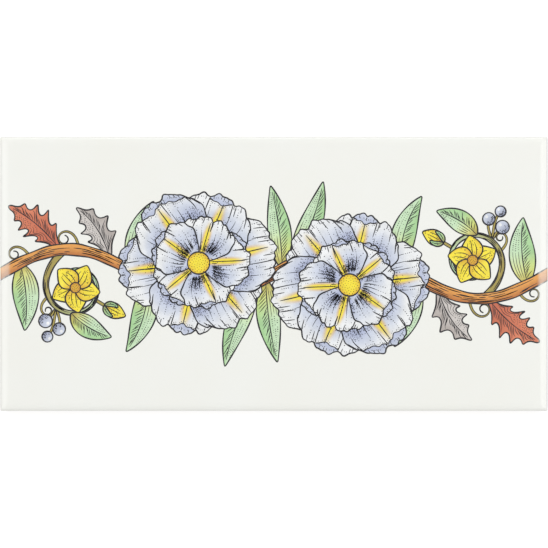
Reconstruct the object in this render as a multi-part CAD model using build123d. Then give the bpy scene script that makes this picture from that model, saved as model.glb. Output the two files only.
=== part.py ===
"""Rectangular glazed border tile, dry-pressed and fired as one piece of ceramic.

The tile lies face up: +X runs along its length, +Y across its width and +Z out of the glazed
face. The origin is the centre of the back, on the plane of the keying ribs.
"""

import os
from math import floor, sqrt

from build123d import *

# Overall size of the fired tile, in millimetres
TILE_LENGTH = 200.0
TILE_WIDTH = 100.0
TILE_THICKNESS = 7.0

# Cushioned edge round the face: a quarter ellipse, wide in plan and shallow in height
ARRIS_RUN = 2.8
ARRIS_DROP = 0.9

# Press die: nipped upright corners, and a foot that tapers in towards the back
CORNER_NIP = 0.5  # how far each corner is cut back along both of its sides
FOOT_HEIGHT = 2.4
FOOT_INSET = 0.4

# Keying relief on the back: square pockets, with ribs between them that carry the tile
POCKET_SIZE = 17.6
POCKET_DEPTH = 0.7
POCKET_CORNER_RADIUS = 2.0
POCKET_DRAFT = 25.0  # degrees off plumb
RIB_WIDTH = 2.4
BACK_MARGIN = 9.0  # least plain band between the pockets and the edge of the back


def side_section(span):
    """Upright section across one span: tapered foot, plumb side and cushioned edge."""
    half_span = span / 2
    half_foot = half_span - FOOT_INSET
    half_face = half_span - ARRIS_RUN
    shoulder = TILE_THICKNESS - ARRIS_DROP
    back = Line((0, 0), (half_foot, 0))
    foot = Line((half_foot, 0), (half_span, FOOT_HEIGHT))
    side = Line((half_span, FOOT_HEIGHT), (half_span, shoulder))
    arris = EllipticalCenterArc((half_face, shoulder), ARRIS_RUN, ARRIS_DROP, arc_size=90)
    face = Line((half_face, TILE_THICKNESS), (0, TILE_THICKNESS))
    right_half = back + foot + side + arris + face
    return make_face(right_half + mirror(right_half, Plane.YZ))


def corner_nips():
    """Square prism turned by 45 degrees: it clears every side and cuts just the four corners."""
    reach = (TILE_LENGTH + TILE_WIDTH) / 2 - CORNER_NIP
    square_plan = Rot(0, 0, 45) * Rectangle(reach * sqrt(2), reach * sqrt(2))
    return extrude(square_plan, 2 * TILE_THICKNESS, both=True)


def pressed_blank():
    """Tile with a plain back: the sections of both spans crossed, then nipped at the corners."""
    along_length = extrude(Plane.XZ * side_section(TILE_LENGTH), TILE_WIDTH / 2, both=True)
    along_width = extrude(Plane.YZ * side_section(TILE_WIDTH), TILE_LENGTH / 2, both=True)
    return along_length & along_width & corner_nips()


def pockets_across(span):
    """How many pockets fit across a span of the back inside its plain margin."""
    keyed_span = span - 2 * (FOOT_INSET + BACK_MARGIN)
    return max(1, floor((keyed_span + RIB_WIDTH) / (POCKET_SIZE + RIB_WIDTH)))


def keying_pockets():
    """Grid of shallow drafted pockets that open through the back."""
    mouth = RectangleRounded(POCKET_SIZE, POCKET_SIZE, POCKET_CORNER_RADIUS)
    pocket = extrude(mouth, POCKET_DEPTH, taper=POCKET_DRAFT)
    pitch = POCKET_SIZE + RIB_WIDTH
    grid = GridLocations(pitch, pitch, pockets_across(TILE_LENGTH), pockets_across(TILE_WIDTH))
    return [place * pocket for place in grid]


border_tile = pressed_blank() - keying_pockets()

os.makedirs("parts", exist_ok=True)
export_step(border_tile, "parts/border_tile.step")
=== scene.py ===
"""Looks of a glazed border tile: its glaze, its printed flower border and a plain studio.

A place in the drawing is a complex number in metres on the tile's face, x + 1j * y, from the middle of
the face. A shape is a function of s and t that gives such places: s runs from 0 to 1 along the shape
and t from -1 to 1 across it, with t to the left of s. The border has two like halves: a shape is given
as it lies in the right one, and the left one has it turned by half a circle.
"""

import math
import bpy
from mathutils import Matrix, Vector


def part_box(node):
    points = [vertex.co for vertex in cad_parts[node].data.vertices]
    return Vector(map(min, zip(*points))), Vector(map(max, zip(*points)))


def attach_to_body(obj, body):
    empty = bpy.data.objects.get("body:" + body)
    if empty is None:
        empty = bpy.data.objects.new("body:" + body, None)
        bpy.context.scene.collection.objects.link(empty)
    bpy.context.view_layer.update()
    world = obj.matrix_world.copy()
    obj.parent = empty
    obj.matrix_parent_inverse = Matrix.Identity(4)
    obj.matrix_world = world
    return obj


bl_info = {
    "name": "Glazed Border Tile",
    "version": (1, 0, 0),
    "blender": (4, 5, 0),
    "location": "3D View > Sidebar > Border Tile",
    "description": "Glaze, printed flower border and studio for a fired border tile",
    "category": "Object",
}

import bpy
import numpy as np
from bpy.props import FloatProperty, FloatVectorProperty, IntProperty, PointerProperty
from mathutils import Vector

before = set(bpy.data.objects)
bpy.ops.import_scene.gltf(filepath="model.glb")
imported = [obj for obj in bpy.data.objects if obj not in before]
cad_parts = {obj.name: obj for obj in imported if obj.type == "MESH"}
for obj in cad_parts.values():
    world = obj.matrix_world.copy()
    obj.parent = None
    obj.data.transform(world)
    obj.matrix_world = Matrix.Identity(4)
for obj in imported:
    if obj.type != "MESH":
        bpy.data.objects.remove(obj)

MM = 0.001
TILE_NODE = "border_tile"
BODY = "root"
TILE_LOW, TILE_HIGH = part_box(TILE_NODE)
HALF_LENGTH = TILE_HIGH.x
HALF_WIDTH = TILE_HIGH.y
FACE_HEIGHT = TILE_HIGH.z

# Factors that turn a place to the right half and to the left half of the border
HALVES = (1, -1)

# The drawing is painted in levels, each over the ones before it. What doesn't meet shares a level.
TENDRIL_LEVEL = 1
BRANCH_LEVEL = 2
LEAF_LEVEL = 3
VINE_LEVEL = 5
FLOWER_LEVEL = 6  # rosettes, blossoms and berries
NEXT_FILM = 0.5  # step between films that overlap in one level
INK_ABOVE = 0.25  # step from a film up to the ink that outlines it
PATCH_ABOVE = 0.125  # step from a film up to a small one that lies on it

# Pens: width as a share of the ink width, and how far a stroke thins towards its ends
PENS = {
    "outline": (1.0, 0.0),
    "lip": (0.85, 0.0),
    "heart": (0.8, 0.0),
    "stalk": (0.6, 0.0),
    "midrib": (0.8, 0.6),
    "vein": (0.6, 0.8),
    "blossom vein": (0.55, 0.7),
    "hatching": (0.5, 0.8),
    "base": (0.55, 0.9),
    "long fold": (0.75, 0.7),
    "fold": (0.6, 0.7),
    "tuck": (0.5, 0.7),
}

# Smallest and largest radius of the ink dots
COARSE_DOTS = (0.13 * MM, 0.22 * MM)
BERRY_DOTS = (0.13 * MM, 0.2 * MM)
FINE_DOTS = (0.12 * MM, 0.19 * MM)


def srgb(red, green, blue):
    """Linear colour of an 8-bit screen colour."""
    share = np.array([red, green, blue]) / 255
    return tuple(np.where(share <= 0.04045, share / 12.92, ((share + 0.055) / 1.055) ** 2.4))


def colour_property(name, description, *screen_colour):
    """Colour that a user may change, with a screen colour as its default."""
    return FloatVectorProperty(
        name=name, description=description, subtype="COLOR", size=3, min=0.0, max=1.0,
        default=srgb(*screen_colour),
    )


def length_property(name, description, millimetres):
    """Length that a user may change, with a default in millimetres."""
    return FloatProperty(
        name=name, description=description, unit="LENGTH", precision=5, min=0.0,
        default=millimetres * MM,
    )


def power_property(name, description, watts):
    """Power of a lamp that a user may change, with a default in watts."""
    return FloatProperty(name=name, description=description, unit="POWER", min=0.0, default=watts)


class TileFinish(bpy.types.PropertyGroup):
    """Glaze and biscuit of the tile."""

    glaze_colour: colour_property("Glaze", "Colour of the white glaze", 246, 247, 242)
    biscuit_colour: colour_property("Biscuit", "Colour of the bare fired clay", 226, 211, 190)
    arris_run: length_property("Arris run", "Width of the cushioned edge in plan", 2.8)
    arris_drop: length_property("Arris drop", "Height of the cushioned edge", 0.9)
    corner_radius: length_property("Corner radius", "Radius of the glaze on the upright corners", 0.5)
    coat: length_property("Coat", "How far the glaze stands proud of the biscuit", 0.03)
    bead: length_property("Bead", "Thickness of the bead at the lower margin of the glaze", 0.1)
    margin: length_property("Margin", "Mean height of the glaze's lower margin on the sides", 3.1)
    margin_wave: length_property("Margin wave", "How far the margin wanders up and down", 0.35)


class BorderPrint(bpy.types.PropertyGroup):
    """Sizes and enamel colours of the printed border."""

    petal_pale: colour_property("Pale petal", "Rim of the petals, glint of the berries", 244, 246, 247)
    petal_mid: colour_property("Petal", "Body of the petals, lit side of the berries", 213, 220, 235)
    petal_deep: colour_property("Deep petal", "Folds and base of the petals, and berries", 181, 190, 219)
    yellow: colour_property("Yellow", "Blossoms, and hearts and bands of the rosettes", 255, 234, 55)
    gold: colour_property("Gold", "Shade of the blossoms, hearts and bands", 229, 178, 42)
    mint_light: colour_property("Light mint", "Lit side of leaves and branches", 207, 235, 197)
    mint: colour_property("Mint", "Shaded side of leaves and branches", 174, 218, 157)
    olive: colour_property("Olive", "Stalks and tendrils, base of leaves and branches", 173, 156, 76)
    vine: colour_property("Vine", "Lit side of the vine", 236, 164, 78)
    vine_dark: colour_property("Dark vine", "Shaded side of the vine, rim of the hearts", 190, 112, 46)
    terracotta: colour_property("Terracotta", "Tip and edges of the clay leaves", 228, 136, 99)
    terracotta_dark: colour_property("Dark terracotta", "Base and midrib of clay leaves", 203, 104, 72)
    taupe: colour_property("Taupe", "Lit side of the grey leaves", 214, 208, 203)
    taupe_dark: colour_property("Dark taupe", "Shaded side of the grey leaves", 182, 173, 167)
    ink: colour_property("Ink", "Drawn lines and dots", 30, 29, 33)
    ink_width: length_property("Ink width", "Width of the outlines", 0.5)
    level_height: length_property("Level height", "Height of each painted level above the last", 0.01)
    end_fade: FloatProperty(
        name="End fade", description="Share of its colour that the print loses over the cushioned edge",
        subtype="FACTOR", min=0.0, max=1.0, default=0.32,
    )
    fade_run: length_property("Fade run", "Width of the fade before the cushioned edge", 1.3)
    vine_rise: length_property("Vine rise", "Height of the vine's wave", 9.0)
    vine_width: length_property("Vine width", "Width of the vine", 4.0)
    rosette_reach: length_property("Rosette reach", "Mean length of the rosettes' outer petals", 27.0)
    blossom_reach: length_property("Blossom reach", "Length of the yellow blossoms' petals", 9.3)
    seed: IntProperty(name="Seed", description="Start of the random draws", default=7, min=0)


class StudioStage(bpy.types.PropertyGroup):
    """Floor, lights and camera."""

    floor_colour: colour_property("Floor", "Colour of the floor", 250, 250, 250)
    sky_strength: FloatProperty(
        name="Sky", description="Strength of the even light", min=0.0, default=0.44,
    )
    left_power: power_property("Left panel", "Power of the overhead panel on the left", 6.1)
    right_power: power_property("Right panel", "Power of the overhead panel on the right", 7.3)
    strip_power: power_property("Strip", "Power of the low strip lamp behind the tile", 1.95)
    lens: FloatProperty(
        name="Lens", description="Focal length of the camera", unit="CAMERA", default=100.0,
    )
    frame_width: length_property("Frame width", "Width of the view at the height of the face", 200.0)


def ease(share):
    """Smooth step from 0 to 1."""
    share = np.clip(share, 0, 1)
    return share * share * (3 - 2 * share)


def mix(first, second, share):
    """Colours between two colours, or arrays of them, for an array of shares."""
    share = np.asarray(share)[..., None]
    return np.asarray(first) * (1 - share) + np.asarray(second) * share


def even(path, step):
    """The same path with its points a step apart, measured along it."""
    run = np.concatenate([[0.0], np.cumsum(np.abs(np.diff(path)))])
    stops = np.linspace(0, run[-1], max(4, int(run[-1] / step) + 1))
    return np.interp(stops, run, path)


def soften(path):
    """The path with each inner point moved towards its neighbours."""
    inner = (path[:-2] + 2 * path[1:-1] + path[2:]) / 4
    return np.concatenate([path[:1], inner, path[-1:]])


def left_of(path):
    """Unit normals to the left of a path."""
    ahead = np.gradient(path)
    return 1j * ahead / np.maximum(np.abs(ahead), 1e-12)


def lance(s):
    """Half width of a slender leaf: a sine bulge that is fullest before its middle."""
    return 0.01 + np.sin(np.pi * np.clip(s, 0, 1) ** 0.8) ** 0.9


def jagged(points):
    """Half width of a jagged leaf: a narrow slender leaf that doubles its width at a row of points."""
    return lambda s: 0.62 * lance(s) * (1 + (1 - np.abs(np.sin(points * np.pi * s))) ** 1.3)


def blade(base, heading, turn, length, half_width, outline, lean=0.0):
    """Leaf on a midrib of constant curvature, which turns by turn over its length.

    A place is the midrib's point at s, plus t half widths to its left, plus a lean of both edges
    towards the tip, which fades along the leaf.
    """
    start, bend = math.radians(heading), math.radians(turn)

    def shape(s, t):
        aim = np.exp(1j * (start + bend * s))
        midrib = base + length * np.exp(1j * start) * np.expm1(1j * bend * s) / (1j * bend)
        return midrib + aim * half_width * outline(s) * (1j * t + lean * (1 - s) * np.abs(t))

    return shape


# Rows of scallops in a petal's frill: radians for each half width, share of the phase, and depth
SCALLOPS = ((4.7, 1.0, 1.0), (8.3, 2.3, 0.7), (15.5, 1.7, 0.45))
ON_CROWN = 1.2  # sum of their depths that lies on the crown's own line
SHOULDER_FALL = 0.27  # how much shorter a ruffled petal is at its shoulders
BASE_WIDTH = 0.26  # share of its width at its base
WIDEST = 0.8  # how far along it its waist is at its full width
RIM_LOSS = 0.07  # share of its width that it loses towards the rim
SIDE_RIPPLE = 0.35  # depth of the ripple along its sides, as a share of the frill's


def scallops(t, phase):
    """How far a frill stands out from the crown: its rows of scallops added up, each the size of a sine."""
    rows = [depth * np.abs(np.sin(rate * t + lag * phase)) for rate, lag, depth in SCALLOPS]
    return sum(rows) - ON_CROWN


def notches(row, phase):
    """Places across a petal where the scallops of a row meet: the zeros of their sine."""
    rate, lag, _ = SCALLOPS[row]
    first, last = math.ceil((lag * phase - rate) / math.pi), math.floor((lag * phase + rate) / math.pi)
    return (np.arange(first, last + 1) * math.pi - lag * phase) / rate


def ruffled_petal(centre, heading, inner, outer, half_width, frill_depth, phase):
    """Broad petal with a frilled rim, from the centre of a flower.

    Its crown falls away from the middle of the rim to both shoulders, its waist widens from the base,
    its sides ripple, and the frill is the sum of three rows of scallops, which grow towards the rim.
    """
    aim = np.exp(1j * math.radians(heading))

    def shape(s, t):
        crown = outer * (1 - SHOULDER_FALL * np.abs(t) ** 2.6)
        out = inner + (crown - inner) * s + frill_depth * scallops(t, phase) * s**5
        waist = BASE_WIDTH + (1 - BASE_WIDTH) * np.sin(np.pi / 2 * np.minimum(1, s / WIDEST))
        ripple = SIDE_RIPPLE * frill_depth * np.sin(15 * s + 3 * phase) * s * t**5
        side = half_width * waist * (1 - RIM_LOSS * s**3) * t + ripple
        return centre + aim * (out + 1j * side)

    return shape


CIRCLE = np.exp(1j * np.linspace(0, 2 * np.pi, 90))
GOLDEN_ANGLE = np.pi * (3 - np.sqrt(5))


def seed_head(count):
    """Places in a unit circle: each one turned by the golden angle, with an even spread."""
    number = np.arange(count)
    return np.sqrt((number + 0.5) / count) * np.exp(1j * GOLDEN_ANGLE * number)


def disc(centre, radius):
    """Round spot: the square of s and t pressed into a circle."""

    def shape(s, t):
        across = 2 * s - 1
        x = across * np.sqrt(1 - t * t / 2)
        y = t * np.sqrt(1 - across * across / 2)
        return centre + radius * (x + 1j * y)

    return shape


def from_middle(s, t):
    """Square of the way from the middle of s and t to their edges."""
    return (2 * s - 1) ** 2 + t * t


def rim(shape, closed=True, points=90):
    """Path round a shape: up its right edge, across its tip, down its left edge, and across its base."""
    up, across = np.linspace(0, 1, points), np.linspace(-1, 1, points)
    sides = [shape(up, -1.0), shape(1.0, across), shape(up[::-1], 1.0)]
    if closed:
        sides.append(shape(0.0, across[::-1]))
    return np.concatenate(sides)


def glaze_height(places, finish):
    """Height of the glaze: the face, lowered towards the nearer side by its quarter ellipse."""
    gap = np.minimum(HALF_LENGTH - np.abs(places.real), HALF_WIDTH - np.abs(places.imag))
    over = np.clip(1 - gap / finish.arris_run, 0, 1)
    return FACE_HEIGHT + finish.coat - finish.arris_drop * (1 - np.sqrt(1 - over * over))


def grid_quads(index):
    """Quads between neighbouring rows and columns of a grid of vertex numbers."""
    corners = [index[:-1, :-1], index[1:, :-1], index[1:, 1:], index[:-1, 1:]]
    return np.stack(corners, axis=-1).reshape(-1, 4)


def new_object(name, data):
    """Object in the scene from its mesh, lamp or camera, at the origin."""
    made = bpy.data.objects.new(name, data)
    bpy.context.scene.collection.objects.link(made)
    return made


def new_surface(name, points, faces, material):
    """Mesh object from an array of points and a list of faces."""
    mesh = bpy.data.meshes.new(name)
    mesh.from_pydata(points, [], faces)
    mesh.materials.append(material)
    return new_object(name, mesh)


def new_piece(name, points, faces, material):
    """Mesh object that rides on the tile."""
    piece = new_surface(name, points, faces, material)
    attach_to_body(piece, BODY)
    return piece


PAINT = "enamel"  # attribute that holds the drawing's own colours
CLEAR_GLOSS = {"Coat_Weight": 0.35, "Coat_Roughness": 0.04}
WHITE = (1.0, 1.0, 1.0, 1.0)


class Nodes:
    """A node tree, with short ways to add and join nodes."""

    def __init__(self, tree):
        self.tree = tree

    def give(self, socket, value):
        """Joins an output to a socket, or sets the socket's value."""
        if isinstance(value, bpy.types.NodeSocket):
            self.tree.links.new(value, socket)
        else:
            socket.default_value = value

    def fill(self, node, inputs):
        """Sets or joins a node's inputs by name."""
        for name, value in inputs.items():
            self.give(node.inputs[name.replace("_", " ")], value)

    def add(self, kind, settings=None, **inputs):
        """New node with its settings, and its inputs set or joined by name."""
        made = self.tree.nodes.new(kind)
        for name, value in (settings or {}).items():
            setattr(made, name, value)
        self.fill(made, inputs)
        return made

    def math(self, operation, first, second):
        """Result of an operation on two values."""
        made = self.add("ShaderNodeMath", {"operation": operation})
        self.give(made.inputs[0], first)
        self.give(made.inputs[1], second)
        return made.outputs[0]

    def spread(self, value, low, high, from_low=0.3, from_high=0.7):
        """The value, mapped to a range from another, which is by default the usual one of noise."""
        ends = {"From Min": from_low, "From Max": from_high, "To Min": low, "To Max": high}
        return self.add("ShaderNodeMapRange", Value=value, **ends).outputs["Result"]


class Shader(Nodes):
    """A material's nodes, on the Object coordinates of its piece."""

    def __init__(self, name):
        self.material = bpy.data.materials.new(name)
        self.material.use_nodes = True
        super().__init__(self.material.node_tree)
        self.place = self.add("ShaderNodeTexCoord").outputs["Object"]

    def finish(self, **inputs):
        """Sets or joins the surface's inputs by name, and gives the material."""
        self.fill(self.tree.nodes["Principled BSDF"], inputs)
        return self.material

    def noise(self, size, detail=2.0, roughness=0.5):
        """Noise whose features are about that size, in metres."""
        look = {"Scale": 1 / size, "Detail": detail, "Roughness": roughness}
        return self.add("ShaderNodeTexNoise", Vector=self.place, **look).outputs["Fac"]

    def patches(self, size, low, high, detail=3.0):
        """Value that drifts between two levels, in patches of about that size."""
        return self.spread(self.noise(size, detail), low, high)

    def blend(self, share, first, second):
        """Colour between two colours."""
        made = self.add("ShaderNodeMix", {"data_type": "RGBA"}, Factor=share)
        for socket, colour in ((made.inputs[6], first), (made.inputs[7], second)):
            self.give(socket, colour if isinstance(colour, bpy.types.NodeSocket) else (*colour, 1.0))
        return made.outputs[2]

    def printed(self, share):
        """The drawing's own colour, times a share."""
        colour = self.add("ShaderNodeAttribute", {"attribute_name": PAINT}).outputs["Color"]
        made = self.add("ShaderNodeVectorMath", {"operation": "SCALE"}, Vector=colour, Scale=share)
        return made.outputs[0]

    def bump(self, height, depth, below=None):
        """Normal of a relief that is depth metres deep, over the normal below it."""
        made = self.add("ShaderNodeBump", Height=height, Strength=1.0, Distance=depth)
        if below is not None:
            self.give(made.inputs["Normal"], below)
        return made.outputs["Normal"]

    def glaze_ripple(self):
        """Relief of fired glaze: a slow swell and a fine orange peel."""
        swell = self.bump(self.noise(9 * MM, detail=1.0), 0.012 * MM)
        return self.bump(self.noise(1.1 * MM), 0.0016 * MM, swell)


def glaze_material(finish):
    """White glossy glaze, a little warmer and thinner in places, with a fine ripple."""
    shader = Shader("white_glaze")
    thick = np.array(finish.glaze_colour)
    thin = thick * np.array([0.992, 0.985, 0.968])
    return shader.finish(
        Base_Color=shader.blend(shader.patches(24 * MM, 0.0, 1.0), thick, thin),
        Roughness=shader.patches(3 * MM, 0.09, 0.15),
        Normal=shader.glaze_ripple(),
        **CLEAR_GLOSS,
    )


def biscuit_material(finish):
    """Bare pressed and fired clay: pale, clouded, specked, grainy and matt."""
    shader = Shader("biscuit")
    clay = np.array(finish.biscuit_colour)
    cloud = clay * np.array([0.95, 0.91, 0.86])
    grain = shader.noise(0.35 * MM, detail=4.0, roughness=0.65)
    body = shader.blend(shader.patches(14 * MM, 0.0, 1.0), clay, cloud)
    specks = shader.spread(grain, 0.0, 0.5, from_low=0.6, from_high=0.75)
    return shader.finish(
        Base_Color=shader.blend(specks, body, clay * 0.72),
        Roughness=shader.spread(grain, 0.78, 0.94),
        Normal=shader.bump(grain, 0.05 * MM, shader.bump(shader.noise(2.5 * MM), 0.05 * MM)),
    )


def enamel_material():
    """Fired colour under gloss: the drawing's own colour, with the pools and grain of a watercolour."""
    shader = Shader("fired_enamel")
    pools, grain = shader.patches(3.2 * MM, 0.9, 1.05), shader.patches(0.5 * MM, 0.95, 1.04)
    return shader.finish(
        Base_Color=shader.printed(shader.math("MULTIPLY", pools, grain)),
        Roughness=shader.patches(3 * MM, 0.11, 0.19),
        Normal=shader.glaze_ripple(),
        **CLEAR_GLOSS,
    )


def ink_material():
    """Fired ink: the drawing's own near black, a little starved in places."""
    shader = Shader("fired_ink")
    starved = shader.spread(shader.noise(1.6 * MM, detail=3.0), 1.0, 2.4, from_low=0.45, from_high=0.75)
    return shader.finish(
        Base_Color=shader.printed(starved),
        Roughness=shader.patches(0.8 * MM, 0.16, 0.28, detail=2.0),
        Specular_IOR_Level=0.35,
        Normal=shader.glaze_ripple(),
    )


class Films:
    """Thin closed films on the glaze, gathered as whole arrays and written as one mesh."""

    SINK = 0.01 * MM  # how far a film's foot lies in the glaze
    END_GAP = 0.06 * MM  # bare glaze between a film and the ends of the tile
    DOT_SIDES = 6
    CELL_MARGIN = 0.05  # share of a cell of the map that stays empty on each side

    def __init__(self, scene):
        self.finish = scene.tile_finish
        self.settings = scene.border_print
        self.points, self.quads, self.colours, self.sheets = [], [], [], []
        self.count = 0

    def gather(self, places, quads, level, colours, sheet):
        """Adds films whose tops are at the places: their tops, then their feet, as new vertices."""
        height = glaze_height(places, self.finish)
        gap = HALF_LENGTH - np.abs(places.real) - self.finish.arris_run
        fade = self.settings.end_fade * ease(1 - gap / self.settings.fade_run)
        colours = mix(colours, self.finish.glaze_colour, fade)
        tops = np.stack([places.real, places.imag, height + level * self.settings.level_height], axis=-1)
        feet = np.stack([places.real, places.imag, height - self.SINK], axis=-1)
        self.points.append(np.concatenate([tops, feet]))
        self.colours.append(np.concatenate([colours, colours]))
        self.sheets.append(np.concatenate([sheet, sheet]))
        self.quads.append(quads + self.count)
        self.count += 2 * len(places)

    def inside(self, places):
        """The places, held off the ends of the tile."""
        end = HALF_LENGTH - self.END_GAP
        return np.clip(places.real, -end, end) + 1j * places.imag

    def film(self, plan, level, colour):
        """Film on a grid of places: its top, its foot and the wall round its rim."""
        colours = np.broadcast_to(colour, plan.shape + (3,))
        plan = self.inside(plan)
        along, across = np.diff(plan, axis=0)[:, :-1], np.diff(plan, axis=1)[:-1]
        if np.sum(along.conj() * across).imag < 0:
            plan, colours = plan[:, ::-1], colours[:, ::-1]
        rows, columns = plan.shape
        top = np.arange(plan.size).reshape(rows, columns)
        edge = np.concatenate([top[:-1, 0], top[-1, :-1], top[:0:-1, -1], top[0, :0:-1]])
        after = np.roll(edge, -1)
        wall = np.stack([edge + plan.size, after + plan.size, after, edge], axis=1)
        quads = np.concatenate([grid_quads(top), grid_quads(top + plan.size)[:, ::-1], wall])
        s, t = np.meshgrid(np.linspace(0, 1, rows), np.linspace(0, 1, columns), indexing="ij")
        sheet = np.stack([s.ravel(), t.ravel(), np.full(plan.size, len(self.sheets))], axis=1)
        self.gather(plan.ravel(), quads, level, colours.reshape(-1, 3), sheet)

    def dots(self, centres, radii, level):
        """Ink dots: flat hexagons, gathered as one array."""
        corner = np.exp(2j * np.pi * np.arange(self.DOT_SIDES) / self.DOT_SIDES)
        places = self.inside(centres[:, None] + radii[:, None] * corner)
        number = np.arange(places.size).reshape(places.shape)
        below, after = number + places.size, np.roll(number, -1, axis=1)
        quads = np.concatenate([
            number[:, [0, 1, 2, 3]], number[:, [0, 3, 4, 5]],
            below[:, [3, 2, 1, 0]], below[:, [5, 4, 3, 0]],
            np.stack([below, np.roll(below, -1, axis=1), after, number], axis=-1).reshape(-1, 4),
        ])
        colours = np.tile(np.asarray(self.settings.ink), (places.size, 1))
        self.gather(places.ravel(), quads, level, colours, np.zeros((places.size, 3)))

    def piece(self, name, material, cells=None):
        """The films' mesh, with their colours and a map: the plan, or rows of cells, one to a film."""
        points, quads = np.concatenate(self.points), np.concatenate(self.quads)
        made = new_piece(name, points, quads.tolist(), material)
        colours = np.concatenate(self.colours)
        paint = made.data.attributes.new(PAINT, "FLOAT_COLOR", "POINT")
        paint.data.foreach_set("color", np.c_[colours, np.ones(len(colours))].astype(np.float32).ravel())
        flat = points[:, :2] / (2 * HALF_LENGTH) + 0.5
        if cells:
            sheet = np.concatenate(self.sheets)
            cell = np.stack([sheet[:, 2] % cells, sheet[:, 2] // cells], axis=1)
            flat = (cell + self.CELL_MARGIN + (1 - 2 * self.CELL_MARGIN) * sheet[:, :2]) / cells
        layer = made.data.uv_layers.new(name="OFBake")
        layer.data.foreach_set("uv", flat[quads.ravel()].astype(np.float32).ravel())


class Sketch:
    """One part of the border in the making: its enamel, the ink over it, and its random draws."""

    STEP = 0.4 * MM  # distance between the points of a stroke
    SWELL = 0.16  # share by which a stroke swells and thins
    SWELL_RUN = 1.9 * MM  # run of a stroke for each radian of its swell
    SWELL_LAG = 6.0 * MM  # length of a stroke for each radian that its swell starts at
    BLUNT = 0.004  # share of a stroke at each end where it tapers no more
    DOT_STEP = 0.75 * MM  # distance between the dots of a row

    def __init__(self, scene, draws):
        self.settings = scene.border_print
        self.seed = self.settings.seed + draws
        self.enamel, self.ink, self.stipple = Films(scene), Films(scene), Films(scene)
        self.half = HALVES[0]
        self.restart()

    def restart(self):
        """Starts the random draws from their seed."""
        self.rng = np.random.default_rng(self.seed)

    def halves(self):
        """Each half of the border in turn: what is drawn meanwhile is turned to lie in it."""
        for half in HALVES:
            self.half = half
            yield half
        self.half = HALVES[0]

    def film(self, plan, level, colour):
        """Film of enamel on a grid of places."""
        self.enamel.film(self.half * plan, level, colour)

    def paint(self, shape, level, colour, rows, columns, start=0.0):
        """Film of a shape from a start along it to its tip, coloured by a function of s and t."""
        s, t = np.meshgrid(np.linspace(start, 1, rows), np.linspace(-1, 1, columns), indexing="ij")
        self.film(shape(s, t), level, colour(s, t))

    def line(self, path, level, pen="outline"):
        """Ink line along a path: a flat pen stroke that swells and thins, and tapers to its ends."""
        width, taper = PENS[pen]
        path = soften(soften(even(path, self.STEP)))
        s = np.linspace(0, 1, len(path))
        run = len(path) * self.STEP
        swell = 1 + self.SWELL * np.sin(run / self.SWELL_LAG + s * run / self.SWELL_RUN)
        press = np.sqrt(np.sin(np.pi * np.clip(s, self.BLUNT, 1 - self.BLUNT)))
        half_width = self.settings.ink_width * width * swell * (1 - taper + taper * press) / 2
        plan = path[:, None] + (left_of(path) * half_width)[:, None] * np.array([[-1, 1]])
        self.ink.film(self.half * plan, level, np.asarray(self.settings.ink))

    def dots(self, centres, radii, level):
        """Ink dots of given radii."""
        self.ink.dots(self.half * centres, radii, level)

    def dotted(self, path, level, keep=0.85):
        """Row of ink dots along a path, of which a share is kept."""
        spots = even(path, self.DOT_STEP)
        spots = spots[self.rng.random(len(spots)) < keep]
        self.dots(spots, self.rng.uniform(*COARSE_DOTS, len(spots)), level)

    def ribbon(self, plan, level, colour, pen="outline"):
        """Film with ink along its two long edges."""
        self.film(plan, level, colour)
        for edge in (0, -1):
            self.line(plan[:, edge], level + INK_ABOVE, pen)

    def stalk(self, path, half_width):
        """Thin olive stem along a path."""
        plan = path[:, None] + (left_of(path) * half_width)[:, None] * np.array([[-1, 0, 1]])
        self.ribbon(plan, TENDRIL_LEVEL, np.asarray(self.settings.olive), "stalk")

    def spot(self, centre, radius, level, colour, points, pen="outline"):
        """Round film with its outline."""
        self.paint(disc(centre, radius), level, colour, points, points)
        self.line(centre + radius * CIRCLE, level + INK_ABOVE, pen)

    def write(self, name):
        """The sketch as pieces: its enamel, its ink and, where it has any, its stipple."""
        enamel = bpy.data.materials.get("fired_enamel") or enamel_material()
        ink = bpy.data.materials.get("fired_ink") or ink_material()
        cells = math.ceil(math.sqrt(len(self.enamel.sheets)))
        self.enamel.piece(f"{name}_enamel", enamel, cells)
        self.ink.piece(f"{name}_ink", ink)
        if self.stipple.count:
            self.stipple.piece(f"{name}_stipple", ink)


def perimeter():
    """Once round a rounded rectangle: shares of its core's half sides, and unit ways outwards.

    The places are about 0.7 mm apart along the sides.
    """
    long_side, short_side = np.linspace(-1, 1, 281), np.linspace(-1, 1, 141)
    turn = np.linspace(0, np.pi / 2, 9)[1:-1]
    core, out = [], []
    for corner, side in enumerate((short_side, long_side, short_side, long_side)):
        heading = 1j**corner
        core += [heading * (1 + 1j * side), np.full(len(turn), heading * (1 + 1j))]
        out += [np.full(len(side), heading), heading * np.exp(1j * turn)]
    return np.concatenate(core), np.concatenate(out)


# Waves of the glaze's lower margin: how many go round the tile, and their share of its wandering
MARGIN_WAVES = ((5, 0.5), (11, 0.4), (23, 0.35), (47, 0.25), (83, 0.15))


def margin_height(finish, rng, count):
    """Lower edge of the glaze round the tile: a sum of waves that close on themselves."""
    round_trip = 2 * np.pi * np.arange(count) / count
    wave = np.zeros(count)
    for turns, share in MARGIN_WAVES:
        wave += share * np.sin(turns * round_trip + rng.uniform(0, 2 * np.pi))
    return finish.margin + finish.margin_wave * wave


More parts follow.
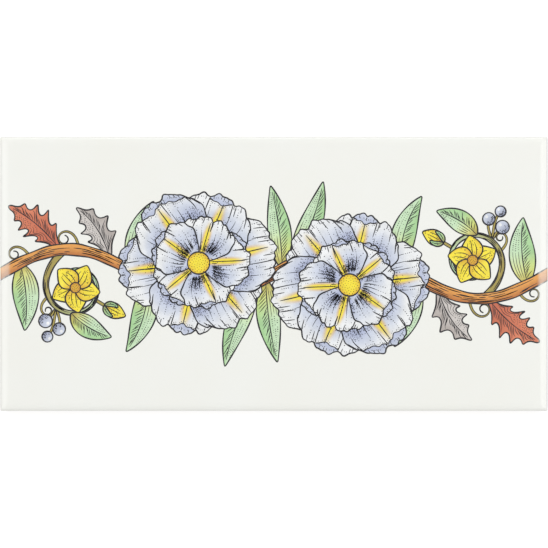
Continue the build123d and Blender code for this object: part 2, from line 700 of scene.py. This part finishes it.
class BORDERTILE_OT_glaze_coat(bpy.types.Operator):
    """Glaze poured over the face and run down the sides, on a body of bare biscuit"""

    bl_idname = "border_tile.glaze_coat"
    bl_label = "Glaze Coat"

    OUTER_STEPS = 22  # points along the arris
    INNER_STEPS = 6
    FLAT = 1.0 * MM  # flat ring inside the arris
    INSIDE = 0.05 * MM  # how far the coat's inner face lies in the biscuit
    CREST = 0.25 * MM  # height of the bead's crest above the margin
    CREST_STEPS = 6
    THINNING = 0.7 * MM  # height over which the glaze above the crest thins to about a third
    THINNED = 2.4  # such heights up to the even coat
    LEAST_RADIUS = 0.1 * MM  # of the upright corners, where the coat lies far in
    RADIUS_GAIN = 0.1  # growth of that radius for each metre further in

    def execute(self, context):
        finish = context.scene.tile_finish
        core, out = perimeter()
        margin = margin_height(finish, np.random.default_rng(context.scene.border_print.seed), len(core))

        inner = self.arris(finish, -self.INSIDE, self.INNER_STEPS)[::-1]
        lip = self.beaded_lip(finish)
        outer = self.arris(finish, finish.coat, self.OUTER_STEPS)
        inset = np.concatenate([inner[:, :1], lip[:, :1], outer[:, :1]])
        height = np.concatenate([
            np.repeat(inner[:, 1:], len(core), axis=1),
            margin + lip[:, 1:],
            np.repeat(outer[:, 1:], len(core), axis=1),
        ])
        least = self.LEAST_RADIUS + self.RADIUS_GAIN * np.abs(inset)
        radius = np.maximum(finish.corner_radius - inset, least)
        x = (HALF_LENGTH - inset - radius) * core.real + radius * out.real
        y = (HALF_WIDTH - inset - radius) * core.imag + radius * out.imag

        index = np.arange(x.size).reshape(x.shape)
        walls = grid_quads(np.c_[index, index[:, :1]])[:, [0, 3, 2, 1]].tolist()
        caps = [index[0, ::-1].tolist(), index[-1].tolist()]
        points = np.stack([x, y, height], axis=-1).reshape(-1, 3)
        coat = new_piece("glaze_coat", points, walls + caps, glaze_material(finish))
        coat.data.shade_smooth()

        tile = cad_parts[TILE_NODE]
        tile.data.materials.clear()
        tile.data.materials.append(biscuit_material(finish))
        return {"FINISHED"}

    def arris(self, finish, thick, steps):
        """Quarter ellipse from the shoulder to the face, then a flat: how far in, and how high."""
        angle = np.linspace(0, np.pi / 2, steps)
        inset = finish.arris_run - (finish.arris_run + thick) * np.cos(angle)
        height = FACE_HEIGHT - finish.arris_drop + (finish.arris_drop + thick) * np.sin(angle)
        flat = [[finish.arris_run + self.FLAT, FACE_HEIGHT + thick]]
        return np.concatenate([np.stack([inset, height], axis=1), flat])

    def beaded_lip(self, finish):
        """Quarter ellipse up to the crest, then a fall to the coat: how far in, and above the margin."""
        angle = np.linspace(0, np.pi / 2, self.CREST_STEPS)
        above = np.linspace(0, self.THINNED * self.THINNING, self.CREST_STEPS + 1)[1:]
        fall = finish.coat + (finish.bead - finish.coat) * np.exp(-above / self.THINNING)
        inset = np.concatenate([[self.INSIDE], -finish.bead * np.sin(angle), -fall])
        rise = np.concatenate([[self.INSIDE], self.CREST * (1 - np.cos(angle)), self.CREST + above])
        return np.stack([inset, rise], axis=1)


SCROLL_CENTRE = (72.5 + 5.0j) * MM
SCROLL_JOINT = 76 * MM  # where along the tile the branch leaves the vine
SCROLL_RADIUS = 11.6 * MM
SCROLL_TURNS = 6.5  # radians
SCROLL_ENTRY = 0.47  # radians over which the branch's way in from the vine falls to about a third
SCROLL_LOSS = 0.82 * MM  # loss of radius for each radian


def vine_place(settings, x):
    """Place on the vine's middle line: two waves over the tile's length."""
    return x + 1j * settings.vine_rise * np.sin(2 * np.pi * x / HALF_LENGTH)


def scroll_path(settings):
    """Branch that winds round a blossom: its radius falls fast from the vine, then slowly."""
    joint = vine_place(settings, SCROLL_JOINT) - SCROLL_CENTRE
    turn = np.linspace(0, SCROLL_TURNS, 220)
    fall = (np.abs(joint) - SCROLL_RADIUS) * np.exp(-turn / SCROLL_ENTRY)
    radius = SCROLL_RADIUS + fall - SCROLL_LOSS * turn
    return SCROLL_CENTRE + radius * np.exp(1j * (np.angle(joint) + turn))


def attach(settings, stem, share, off):
    """Base of what grows from a stem of the right half, and its heading in degrees off the stem's."""
    along = np.linspace(0, HALF_LENGTH, 400)
    path = scroll_path(settings) if stem == "branch" else vine_place(settings, along)
    spot = min(int(share * len(path)), len(path) - 2)
    return path[spot], math.degrees(np.angle(path[spot + 1] - path[spot])) + off


def straight(base, heading, length, points):
    """Straight path from a base along a heading in degrees."""
    return base + np.linspace(0, length, points) * np.exp(1j * math.radians(heading))


class BORDERTILE_OT_vine(bpy.types.Operator):
    """Waving vine from end to end, with a scrolling branch in each half"""

    bl_idname = "border_tile.vine"
    bl_label = "Vine and Branches"

    BRANCH_TIP = 0.15  # half width of the branch's tip, as a share of the vine's width
    BRANCH_FLARE = 0.16  # what the branch gains on that at the vine
    WOBBLES = ((0.06, 4.3 * MM), (0.05, 1.7 * MM))  # share of the vine's width, and run for each radian
    GRAIN = (-0.66, -0.42, -0.12, 0.25, 0.6)  # lanes of the grain, in half widths
    GRAIN_SLIP = 0.08  # how far a stroke may lie beside its lane
    GRAIN_SPAN = (8, 28)  # how many of the path's points a stroke spans
    BARE_ENDS = (4, 30)  # points at the path's start and end where no stroke starts
    BRANCH_STROKES = 26
    VINE_STROKES = 150

    def execute(self, context):
        sketch = Sketch(context.scene, draws=1)
        settings = sketch.settings
        for _ in sketch.halves():
            path = scroll_path(settings)
            s = np.linspace(0, 1, len(path))
            greening = ease(1.5 * s - 0.2)[:, None]
            lit = mix(settings.olive, settings.mint_light, greening)
            dark = mix(settings.olive, settings.mint, greening) * 0.86
            half_width = settings.vine_width * (self.BRANCH_TIP + self.BRANCH_FLARE * (1 - s) ** 2)
            offset = left_of(path) * half_width
            self.stem(sketch, path, offset, lit, dark, BRANCH_LEVEL, self.BRANCH_STROKES)

        end = HALF_LENGTH - Films.END_GAP
        x = np.linspace(-end, end, 620)
        path = vine_place(settings, x)
        wobble = 1 + sum(share * np.sin(x / run) for share, run in self.WOBBLES)
        upright = settings.vine_width / 2 * wobble * np.abs(np.gradient(path)) / np.gradient(x)
        lit, dark = settings.vine, settings.vine_dark
        self.stem(sketch, path, 1j * upright, lit, dark, VINE_LEVEL, self.VINE_STROKES)
        sketch.write("vine")
        return {"FINISHED"}

    def stem(self, sketch, path, offset, lit, dark, level, strokes):
        """One stem: a ribbon from an offset right of its path to one left, with outlines and grain."""
        across, rng = np.linspace(-1, 1, 9), sketch.rng
        colour = mix(dark, lit, ease((across + 1.1) / 1.7))
        sketch.ribbon(path[:, None] + offset[:, None] * across, level, colour)
        first, last = self.BARE_ENDS
        starts = rng.integers(first, len(path) - last, strokes)
        spans = rng.integers(*self.GRAIN_SPAN, strokes)
        lanes = rng.choice(self.GRAIN, strokes) + rng.uniform(-self.GRAIN_SLIP, self.GRAIN_SLIP, strokes)
        for start, span, lane in zip(starts, spans, lanes):
            sketch.line((path + lane * offset)[start:start + span], level + INK_ABOVE, "vein")


class BORDERTILE_OT_leaves(bpy.types.Operator):
    """Slender mint leaves, and jagged leaves in terracotta and taupe"""

    bl_idname = "border_tile.leaves"
    bl_label = "Leaves"

    # Stem, share along it, heading off it and turn in degrees, length and half width in millimetres
    SLENDER = (
        ("vine", 0.03, 62, 14, 31, 4.2),
        ("vine", 0.06, 30, 22, 33, 4.2),
        ("vine", 0.46, 122, -40, 28, 4.4),
        ("vine", 0.5, -52, -44, 28, 4.2),
        ("vine", 0.925, 80, -26, 25, 4.7),
        ("branch", 0.42, -44, 34, 17.5, 3.9),
    )
    CLAY = (("vine", 0.78, -62, 30, 25, 5.6),)
    GREY = (("vine", 0.6, -56, 46, 23, 5.2),)
    FILMS = 3  # leaves in a row that may overlap
    LIT_LANES = (0.27, 0.5, 0.72)  # of the lines on the left, in half widths
    HATCHES = 19  # strokes on the right

    def execute(self, context):
        sketch = Sketch(context.scene, draws=2)
        settings = sketch.settings

        def mint(s, t):
            """Light on the left, darker on the right, and yellow, then olive, towards the base."""
            body = mix(settings.mint, settings.mint_light, ease((t + 0.8) / 1.4))
            body = mix(settings.yellow, body, 0.35 + 0.65 * ease(s / 0.55))
            return mix(settings.olive, body, ease(s / 0.25))

        def clay(s, t):
            """Darker along the base and the midrib."""
            light = ease(0.1 + s) * (0.4 + 0.6 * np.abs(t))
            return mix(settings.terracotta_dark, settings.terracotta, light)

        def grey(s, t):
            """Darker on the right and at the base."""
            return mix(settings.taupe_dark, settings.taupe, ease((t + 1) / 1.3) * ease(0.3 + 2 * s))

        # Leaves of a kind, with their outline, the lean of their edges and their colour
        kinds = (
            (self.SLENDER, lance, 0.0, mint),
            (self.CLAY, jagged(5.1), 0.8, clay),
            (self.GREY, jagged(3.9), 0.7, grey),
        )
        leaves = [(row, *kind) for rows, *kind in kinds for row in rows]
        for _ in sketch.halves():
            for number, (row, outline, lean, colour) in enumerate(leaves):
                stem, share, off, turn, length, half_width = row
                base, heading = attach(settings, stem, share, off)
                shape = blade(base, heading, turn, length * MM, half_width * MM, outline, lean)
                self.leaf(sketch, shape, LEAF_LEVEL + number % self.FILMS * NEXT_FILM, colour)
        sketch.write("leaf")
        return {"FINISHED"}

    def leaf(self, sketch, shape, level, colour):
        """One leaf: its wash, outline and midrib, lines that end in dots, and hatching in its shade."""
        rng = sketch.rng
        sketch.paint(shape, level, colour, rows=70, columns=9)
        level += INK_ABOVE
        sketch.line(rim(shape), level)
        sketch.line(shape(np.linspace(0.02, 0.92, 60), 0.0), level, "midrib")
        for lane in self.LIT_LANES:
            start, stop = rng.uniform(0.08, 0.2), rng.uniform(0.35, 0.55)
            sketch.line(shape(np.linspace(start, stop, 40), lane), level, "hatching")
            sketch.dotted(shape(np.linspace(stop + 0.03, rng.uniform(0.75, 0.92), 40), lane), level)
        reach = np.linspace(0, 1, 8)
        for start in np.linspace(0.1, 0.82, self.HATCHES):
            stroke = shape(start + 0.09 * reach, -0.06 - rng.uniform(0.3, 0.8) * reach)
            sketch.line(stroke, level, "hatching")


class BORDERTILE_OT_berries(bpy.types.Operator):
    """Blue berries on stalks, and curled tendrils"""

    bl_idname = "border_tile.berries"
    bl_label = "Berries and Tendrils"

    # Stem, share along it, heading off it in degrees and length in millimetres
    TENDRILS = (("vine", 0.71, -74, 21), ("vine", 0.885, -80, 19), ("branch", 0.25, -70, 16))
    TENDRIL_TURN = 7.6  # radians
    TENDRIL_WIDTH = 0.42 * MM
    ROOT = ("branch", 0.33)  # stem that the stalks grow from, and share along it
    # Heading off the root in degrees, length of the stalk and radius in millimetres
    BERRIES = ((-46, 8.0, 2.3), (-92, 6.4, 2.5), (-70, 11.2, 2.0))
    STALK_WIDTH = 0.4 * MM
    BOW = 0.12  # of a stalk, as a share of its length
    GLINT_PLACE = -0.35 + 0.35j  # in radii of the berry
    GLINT_SIZE = 0.24
    DOTS = 30

    def execute(self, context):
        sketch = Sketch(context.scene, draws=3)
        for _ in sketch.halves():
            for stem, share, off, length in self.TENDRILS:
                self.tendril(sketch, *attach(sketch.settings, stem, share, off), length * MM)
            for number, (off, length, radius) in enumerate(self.BERRIES):
                stalk = straight(*attach(sketch.settings, *self.ROOT, off), length * MM, points=30)
                self.berry(sketch, stalk, radius * MM, FLOWER_LEVEL + number * NEXT_FILM)
        sketch.write("berry")
        return {"FINISHED"}

    def tendril(self, sketch, base, heading, length):
        """One tendril: a line whose heading turns with the square of the way along it."""
        s = np.linspace(0, 1, 140)
        aim = np.exp(1j * (math.radians(heading) + self.TENDRIL_TURN * s * s))
        sketch.stalk(base + length * np.cumsum(aim) / len(s), self.TENDRIL_WIDTH * (1.15 - s))

    def berry(self, sketch, stalk, radius, level):
        """One berry on its bowed stalk: a shaded ball with an outline, a pale glint and stipple."""
        settings, rng, centre = sketch.settings, sketch.rng, stalk[-1]
        bow = self.BOW * np.sin(np.pi * np.linspace(0, 1, len(stalk)))
        sketch.stalk(stalk + 1j * (stalk - stalk[0]) * bow, self.STALK_WIDTH)

        def ball(s, t):
            """Pale towards its upper left, deep towards its lower right."""
            depth = ease(((2 * s - 1) - t + 1.0) / 2.4)
            return mix(settings.petal_mid, np.asarray(settings.petal_deep) * 0.72, depth)

        def pale(s, t):
            """The same pale tone all over."""
            return np.asarray(settings.petal_pale)

        sketch.spot(centre, radius, level, ball, points=15)
        glint = disc(centre + radius * self.GLINT_PLACE, radius * self.GLINT_SIZE)
        sketch.paint(glint, level + PATCH_ABOVE, pale, rows=7, columns=7)
        angle, out = rng.uniform(-2.3, 0.7, self.DOTS), rng.uniform(0.4, 0.9, self.DOTS)
        places = centre + radius * out * np.exp(1j * angle)
        sketch.dots(places, rng.uniform(*BERRY_DOTS, self.DOTS), level + INK_ABOVE)


class BORDERTILE_OT_blossoms(bpy.types.Operator):
    """Yellow five-petalled blossom inside each scroll, and a bud beside it"""

    bl_idname = "border_tile.blossoms"
    bl_label = "Blossoms and Buds"

    # Blades: turn in degrees, and length and half width as shares of the reach
    PETAL = (16, 1.0, 0.42)
    BUD = (8, 0.95, 0.3)
    SEPAL = (76, 0.62, 0.1)
    SEPAL_ASIDE = 58  # degrees off the bud's heading
    ROOT = ("branch", 0.6, -96)  # stem of the bud, share along it, and heading off it in degrees
    STALK = 4.0 * MM
    STALK_WIDTH = 0.55 * MM
    PETALS = 5
    FIRST_HEADING = 18
    HEART = 0.21  # share of the reach
    SEEDS = 22
    SEED_RADIUS = 0.14 * MM

    def execute(self, context):
        sketch = Sketch(context.scene, draws=4)
        settings, reach = sketch.settings, sketch.settings.blossom_reach
        pale = np.minimum(1, np.asarray(settings.yellow) * np.array([1.0, 1.08, 2.6]))

        def sunny(s, t):
            """Gold at the base and on the right, yellow over the body, paler at the left edge."""
            body = mix(settings.yellow, pale, 0.6 * ease((t + 0.1) / 1.2))
            body = mix(body, settings.gold, 0.55 * ease((-t - 0.35) / 0.7))
            return mix(settings.gold, body, ease((s - 0.05) / 0.45))

        def seeded(s, t):
            """Gold in the middle, brown at the rim."""
            return mix(settings.gold, settings.vine_dark, ease(from_middle(s, t) / 1.6))

        def green(s, t):
            """Olive at the base, mint towards the tips."""
            return mix(settings.olive, settings.mint, ease(0.3 + s))

        def grown(base, heading, form, side=1):
            """Blade of a form, which turns to one side or the other."""
            turn, length, half_width = form
            return blade(base, heading, turn * side, reach * length, reach * half_width, lance)

        root, aim = attach(settings, *self.ROOT)
        stalk = straight(root, aim, self.STALK, points=20)
        tip, heart = stalk[-1], reach * self.HEART
        for _ in sketch.halves():
            sketch.stalk(stalk, self.STALK_WIDTH)
            self.petal(sketch, grown(tip, aim, self.BUD), FLOWER_LEVEL, sunny)
            for number, side in enumerate((-1, 1)):
                sepal = grown(tip, aim + self.SEPAL_ASIDE * side, self.SEPAL, -side)
                level = FLOWER_LEVEL + (1 + number) * NEXT_FILM
                self.petal(sketch, sepal, level, green, lanes=(0.0,), dots=4)
            for number in range(self.PETALS):
                heading = self.FIRST_HEADING + 360 / self.PETALS * number
                shape = grown(SCROLL_CENTRE, heading, self.PETAL)
                self.petal(sketch, shape, FLOWER_LEVEL + number * NEXT_FILM, sunny)
            level = FLOWER_LEVEL + self.PETALS * NEXT_FILM
            sketch.spot(SCROLL_CENTRE, heart, level, seeded, points=13, pen="heart")
            seeds = SCROLL_CENTRE + 0.88 * heart * seed_head(self.SEEDS)
            sketch.dots(seeds, np.full(self.SEEDS, self.SEED_RADIUS), level + INK_ABOVE)
        sketch.write("blossom")
        return {"FINISHED"}

    @staticmethod
    def petal(sketch, shape, level, colour, lanes=(-0.42, 0.0, 0.42), dots=22):
        """One petal: its wash, outline, veins and stipple."""
        sketch.paint(shape, level, colour, rows=34, columns=13)
        level += INK_ABOVE
        sketch.line(rim(shape), level)
        for lane in lanes:
            sketch.line(shape(np.linspace(0.15, 0.78 - 0.2 * abs(lane), 40), lane), level, "blossom vein")
        s, t = sketch.rng.uniform(0.25, 0.9, dots), sketch.rng.uniform(-0.85, 0.3, dots)
        sketch.dots(shape(s, t), sketch.rng.uniform(*FINE_DOTS, dots), level)


class BORDERTILE_OT_rosettes(bpy.types.Operator):
    """Pair of large ruffled rosettes on either side of the middle"""

    bl_idname = "border_tile.rosettes"
    bl_label = "Rosettes"

    CENTRE = (27.5 - 4.0j) * MM
    INNER = 0.05  # start of the petals, as a share of the reach
    # Count, first heading in degrees, length, half width and frill as shares of the reach, and the share
    # of each petal's length that the next ring hides
    RINGS = (
        (6, 10, 1.0, 0.53, 0.052, 0.5),
        (5, 40, 0.64, 0.38, 0.042, 0.24),
    )
    WIDER = 0.03  # how much longer the petals along the tile are than the mean
    FILM_START = 0.6  # where a petal's film starts, as a share of what the next ring hides
    STROKE_START = 0.8  # where its strokes start, as a share of the same
    HEART = 0.15  # share of the reach
    SEEDS = 52
    SEED_RADII = (0.12 * MM, 0.2 * MM)  # in the middle of the heart, and at its rim
    VEINS = (-0.7, -0.5, -0.3, 0.3, 0.5, 0.7)  # lanes, in half widths
    # Reach of the folds that start at the notches of each row of scallops, and their pen
    FOLDS = ((0.34, "long fold"), (0.18, "fold"), (0.08, "tuck"))
    BASE_STROKES = 11
    LIP_SHARE = 0.55  # of the scallops are turned over
    LIP_DEPTH = 0.11
    # Stipple: step along, lanes across, slip along and across, and radii
    COARSE = (0.034, 25, 0.01, 0.014, COARSE_DOTS)
    FINE = (0.017, 49, 0.006, 0.012, FINE_DOTS)

    def execute(self, context):
        sketch = Sketch(context.scene, draws=5)
        for _ in sketch.halves():
            sketch.restart()
            self.rosette(sketch)
        sketch.write("rosette")
        return {"FINISHED"}

    def rosette(self, sketch):
        """One rosette: its rings of petals from the outer one inwards, then its heart."""
        settings, rng, reach = sketch.settings, sketch.rng, sketch.settings.rosette_reach
        level = FLOWER_LEVEL
        for count, first, share, wide, frill, hidden in self.RINGS:
            for number in range(count):
                heading = first + 360 / count * number + rng.uniform(-5, 5)
                stretch = 1 + self.WIDER * math.cos(2 * math.radians(heading)) + rng.uniform(-0.04, 0.04)
                phase = rng.uniform(0, 2 * np.pi)
                sizes = reach * np.array([self.INNER, share * stretch, wide, frill])
                shape = ruffled_petal(self.CENTRE, heading, *sizes, phase)
                self.petal(sketch, shape, phase, level, hidden)
                level += NEXT_FILM

        def sunny(s, t):
            """Yellow in the middle, gold at the rim."""
            return mix(settings.yellow, settings.gold, ease(from_middle(s, t) / 1.5))

        heart = reach * self.HEART
        sketch.spot(self.CENTRE, heart, level, sunny, points=17)
        seeds = self.CENTRE + 0.92 * heart * seed_head(self.SEEDS)
        sketch.dots(seeds, np.linspace(*self.SEED_RADII, self.SEEDS), level + INK_ABOVE)

    def petal(self, sketch, shape, phase, level, hidden):
        """One petal: its wash, its turned lips, its outline and strokes, and its stipple."""
        settings, rng = sketch.settings, sketch.rng
        lean, sway = rng.uniform(0, 2 * np.pi), rng.uniform(-0.12, 0.12)

        def depth(s, t):
            """Shade from 0 at the rim to 1 at the next ring, deeper in the folds and on the right."""
            fold = 0.5 + 0.5 * np.sin(5.5 * t + 2 * s + lean)
            return np.clip(ease((0.98 - s) / (1.0 - hidden)) * (0.6 + 0.45 * fold) - 0.2 * t * s, 0, 1)

        def wash(s, t):
            """Pale, then lavender, then deep with the shade, and a yellow band with gold sides."""
            shade = depth(s, t)
            body = mix(settings.petal_pale, settings.petal_mid, ease(1.9 * shade))
            body = mix(body, settings.petal_deep, ease(1.9 * shade - 0.85))
            aside = np.abs(t - sway * s) / (0.2 - 0.12 * s)
            fade = ease((0.97 - s) / 0.35)
            body = mix(body, settings.gold, 0.7 * fade * ease(1.9 - 1.2 * aside))
            return mix(body, settings.yellow, fade * ease(1.5 - 1.5 * aside))

        sketch.paint(shape, level, wash, rows=22, columns=81, start=self.FILM_START * hidden)
        lips = self.lips(sketch, shape, phase, level)
        level += INK_ABOVE
        sketch.line(rim(shape, closed=False, points=300), level)
        self.strokes(sketch, shape, phase, level, hidden, lips, lean, sway)
        self.stipple(sketch, shape, level, hidden, self.COARSE, lambda s, t: 0.9 * depth(s, t) ** 3)
        self.stipple(
            sketch, shape, level, hidden, self.FINE, lambda s, t: 0.8 * ease(2 * depth(s, t) - 1) ** 1.5,
        )

    def lips(self, sketch, shape, phase, level):
        """Scallops of a petal that are turned over: each a lens between the rim and a wavy free edge."""
        settings, ends = sketch.settings, notches(0, phase)
        u, v = np.meshgrid(np.linspace(0.03, 0.97, 26), np.linspace(0, 1, 6), indexing="ij")
        swell = np.sin(np.pi * u) ** 0.6 * (1 + 0.22 * np.abs(np.sin(2.6 * np.pi * u + phase)))
        free = 1 - self.LIP_DEPTH * swell
        shade = mix(settings.petal_mid, settings.petal_deep, 0.7 * ease(1.1 - v))
        found = []
        for low, high in zip(ends[:-1], ends[1:]):
            if sketch.rng.random() > self.LIP_SHARE:
                continue
            found.append((low, high))
            t = low + (high - low) * u
            sketch.film(shape(free + (1 - free) * v, t), level + PATCH_ABOVE, shade)
            sketch.line(shape(free[:, 0], t[:, 0]), level + INK_ABOVE, "lip")
            sketch.dotted(shape(free[:, 0] - 0.03, t[:, 0]), level + INK_ABOVE, keep=0.9)
        return found

    def strokes(self, sketch, shape, phase, level, hidden, lips, lean, sway):
        """A petal's midrib, veins that end in dots, folds from its notches, and strokes at its base."""
        rng, start = sketch.rng, hidden * self.STROKE_START

        def vein(lane, s):
            """Lane that spreads and sways along the petal."""
            return lane * (0.72 + 0.3 * s) + 0.05 * np.sin(5 * s + lean)

        s = np.linspace(start, 0.9, 60)
        sketch.line(shape(s, sway * s), level, "midrib")
        for lane in self.VEINS:
            stop = hidden + (1 - hidden) * rng.uniform(0.3, 0.6)
            s = np.linspace(start, stop, 50)
            sketch.line(shape(s, vein(lane, s)), level, "vein")
            s = np.linspace(stop + 0.02, min(0.9, stop + 0.2), 30)
            sketch.dotted(shape(s, vein(lane, s)), level)
        for row, (reach, pen) in enumerate(self.FOLDS):
            for lane in notches(row, phase):
                turned_over = any(low < lane < high for low, high in lips)
                s = np.linspace(1, 0.95 if turned_over else 1 - reach * rng.uniform(0.7, 1.1), 30)
                sketch.line(shape(s, lane + 0.5 * sway * (1 - s)), level, pen)
        slips = rng.uniform(-0.06, 0.06, self.BASE_STROKES)
        for lane in np.linspace(-0.8, 0.8, self.BASE_STROKES) + slips:
            s = np.linspace(start, hidden + rng.uniform(0.06, 0.2), 20)
            sketch.line(shape(s, lane * (0.8 + 0.2 * s)), level, "base")
        sketch.dotted(shape(0.94, np.linspace(-0.97, 0.97, 120)), level, keep=0.6)

    @staticmethod
    def stipple(sketch, shape, level, start, grain, chance):
        """Dots on a slightly shaken grid over a petal, each kept by the chance at its s and t."""
        step, lanes, slip_along, slip_across, radii = grain
        rng = sketch.rng
        s, t = np.meshgrid(np.arange(start, 0.93, step), np.linspace(-0.94, 0.94, lanes))
        s = s + rng.uniform(-slip_along, slip_along, s.shape)
        t = t + rng.uniform(-slip_across, slip_across, t.shape)
        keep = rng.random(s.shape) < chance(s, t)
        sizes = rng.uniform(*radii, s.shape)
        sketch.stipple.dots(sketch.half * shape(s, t)[keep], sizes[keep], level)


def background_level(nodes, lighting, showing):
    """Strength of a background: one level to light with, another for what the camera and mirrors see."""
    rays = nodes.add("ShaderNodeLightPath").outputs
    seen = rays["Is Camera Ray"]
    for kind in ("Is Glossy Ray", "Is Transmission Ray"):
        seen = nodes.math("MAXIMUM", seen, rays[kind])
    return nodes.spread(seen, lighting, showing, 0.0, 1.0)


class BORDERTILE_OT_stage(bpy.types.Operator):
    """Pale floor, soft lamps, an even sky and the camera straight above the face"""

    bl_idname = "border_tile.stage"
    bl_label = "Studio Stage"

    # Sizes and places are in metres
    FLOOR_RADIUS = 3.0
    FLOOR_POINTS = 96
    FLOOR_SHADE = 0.5  # share of the floor's colour that takes light and shadow, beside its own glow
    GLOW = (0.66, 0.84)  # the floor's glow near the tile, and far off
    GLOW_RUN = (0.2, 1.2)  # distances from the tile between which it rises
    PANEL_ASIDE = 0.8
    PANEL_HEIGHT = 1.0
    PANEL_SIZE = (1.0, 1.6)
    STRIP_PLACE = (0.0, 0.95, 0.5)
    STRIP_SIZE = (0.75, 0.26)

    def execute(self, context):
        scene = context.scene
        stage = scene.studio_stage
        scene.view_settings.view_transform = "Standard"
        self.make_floor(stage)
        self.make_sky(scene, stage)
        for side, watts in ((-1, stage.left_power), (1, stage.right_power)):
            place = (self.PANEL_ASIDE * side, 0.0, self.PANEL_HEIGHT)
            self.make_lamp(f"panel_{side:+d}", watts, place, self.PANEL_SIZE)
        strip = self.make_lamp("strip", stage.strip_power, self.STRIP_PLACE, self.STRIP_SIZE)
        to_tile = Vector((0.0, 0.0, 0.0)) - Vector(self.STRIP_PLACE)
        strip.rotation_euler = to_tile.to_track_quat("-Z", "Y").to_euler()
        self.make_camera(scene, stage)
        return {"FINISHED"}

    def make_floor(self, stage):
        """Round floor under the tile, which shows white where no shadow falls."""
        ring = self.FLOOR_RADIUS * np.exp(2j * np.pi * np.arange(self.FLOOR_POINTS) / self.FLOOR_POINTS)
        points = np.stack([ring.real, ring.imag, np.full(self.FLOOR_POINTS, TILE_LOW.z)], axis=1)
        shader = Shader("pale_floor")
        away = shader.add("ShaderNodeVectorMath", {"operation": "LENGTH"}, Vector=shader.place)
        glow = shader.spread(away.outputs["Value"], *self.GLOW, *self.GLOW_RUN)
        pale = shader.finish(
            Base_Color=(*(np.array(stage.floor_colour) * self.FLOOR_SHADE), 1.0),
            Roughness=0.9,
            Specular_IOR_Level=0.0,
            Emission_Color=WHITE,
            Emission_Strength=background_level(shader, 0.0, glow),
        )
        floor = new_surface("floor", points, [list(range(self.FLOOR_POINTS))], pale)

    @staticmethod
    def make_sky(scene, stage):
        """Even sky that lights softly and shows white to the camera."""
        scene.world = bpy.data.worlds.new("sky")
        scene.world.use_nodes = True
        nodes = Nodes(scene.world.node_tree)
        level = background_level(nodes, stage.sky_strength, 1.0)
        nodes.fill(nodes.tree.nodes["Background"], {"Color": WHITE, "Strength": level})

    @staticmethod
    def make_lamp(name, watts, place, size):
        """Rectangular soft lamp that faces straight down."""
        lamp = bpy.data.lights.new(name, "AREA")
        lamp.energy = watts
        lamp.shape = "RECTANGLE"
        lamp.size, lamp.size_y = size
        holder = new_object(name, lamp)
        holder.location = place
        return holder

    @staticmethod
    def make_camera(scene, stage):
        """Camera straight above the face, with the tile's length across the frame."""
        camera = bpy.data.cameras.new("camera")
        camera.lens = stage.lens
        rise = stage.frame_width * stage.lens / camera.sensor_width
        scene.camera = new_object("camera", camera)
        scene.camera.location = (0.0, 0.0, FACE_HEIGHT + rise)


GROUPS = {"tile_finish": TileFinish, "border_print": BorderPrint, "studio_stage": StudioStage}
OPERATORS = (
    BORDERTILE_OT_glaze_coat,
    BORDERTILE_OT_vine,
    BORDERTILE_OT_leaves,
    BORDERTILE_OT_berries,
    BORDERTILE_OT_blossoms,
    BORDERTILE_OT_rosettes,
    BORDERTILE_OT_stage,
)


class BORDERTILE_PT_sidebar(bpy.types.Panel):
    """Sizes, colours and steps of the border tile"""

    bl_idname = "BORDERTILE_PT_sidebar"
    bl_label = "Border Tile"
    bl_space_type = "VIEW_3D"
    bl_region_type = "UI"
    bl_category = "Border Tile"

    def draw(self, context):
        for name, kind in GROUPS.items():
            box = self.layout.box()
            box.label(text=name.replace("_", " ").title())
            for setting in kind.__annotations__:
                box.prop(getattr(context.scene, name), setting)
        for operator in OPERATORS:
            self.layout.operator(operator.bl_idname)


CLASSES = (*GROUPS.values(), *OPERATORS, BORDERTILE_PT_sidebar)


def register():
    """Registers the classes and gives each scene its settings."""
    for kind in CLASSES:
        bpy.utils.register_class(kind)
    for name, kind in GROUPS.items():
        setattr(bpy.types.Scene, name, PointerProperty(type=kind))


def unregister():
    """Takes the settings and the classes away again."""
    for name in GROUPS:
        delattr(bpy.types.Scene, name)
    for kind in reversed(CLASSES):
        bpy.utils.unregister_class(kind)


def main():
    """Builds the looks in order."""
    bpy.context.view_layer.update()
    register()
    bpy.ops.border_tile.glaze_coat()
    bpy.ops.border_tile.vine()
    bpy.ops.border_tile.leaves()
    bpy.ops.border_tile.berries()
    bpy.ops.border_tile.blossoms()
    bpy.ops.border_tile.rosettes()
    bpy.ops.border_tile.stage()


if __name__ == "__main__":
    main()
